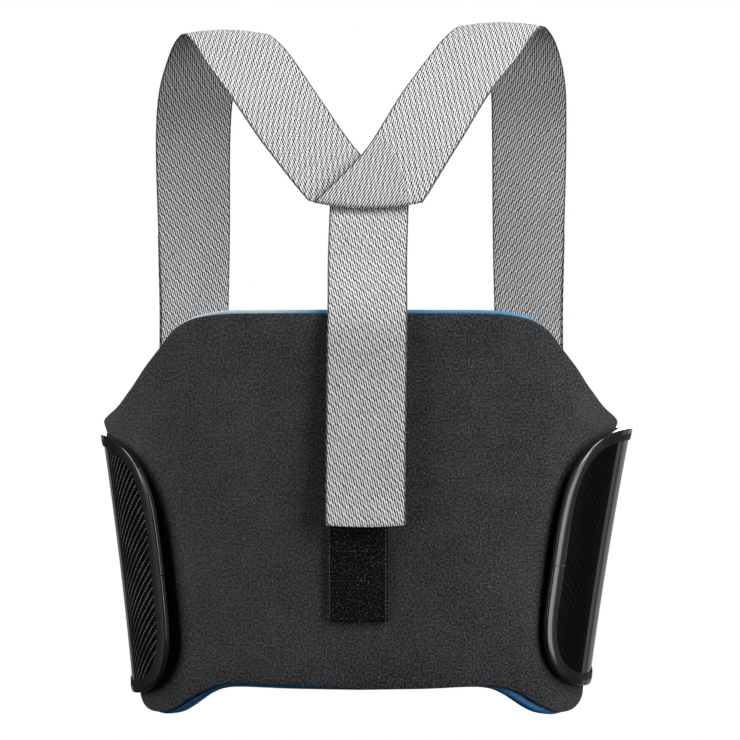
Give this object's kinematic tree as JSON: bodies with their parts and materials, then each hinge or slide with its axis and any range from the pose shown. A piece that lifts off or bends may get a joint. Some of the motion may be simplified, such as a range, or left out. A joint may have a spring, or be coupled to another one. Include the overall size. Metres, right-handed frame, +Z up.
{
  "type": "rib protector vest",
  "caption": "Padded wrap-around rib protector with glossy side shells in rubber edging and a webbing harness that crosses low on the back.",
  "frame": {"origin": "on the axis of the wearer's torso, at the level of the straight hem of the back", "axes": "+Z up along the torso, +X towards the wearer's right, +Y towards the wearer's front, so the back faces -Y"},
  "size_m": [0.35, 0.2354, 0.4501],
  "materials": {
    "cover": "black fine knit laminated to foam, matte with a faint sheen",
    "foam": "blue closed-cell foam, matte",
    "lining": "black knit lining",
    "carbon": "black twill-weave carbon laminate under a clear gloss coat",
    "trim": "black satin rubber edging",
    "webbing": "grey and white ribbed elastic webbing",
    "tape": "black hook-and-loop tape with a fuzzy face"
  },
  "bodies": {
    "root": {"outer_cover": "cover", "foam_core": "foam", "inner_lining": "lining", "carbon_shell_left": "carbon", "carbon_shell_right": "carbon", "shell_trim_left": "trim", "shell_trim_right": "trim", "shoulder_strap": "webbing", "strap_turnback_left": "webbing", "strap_turnback_right": "webbing", "back_strap": "webbing", "hook_patch": "tape", "front_closure": "tape"}
  },
  "joints": []
}
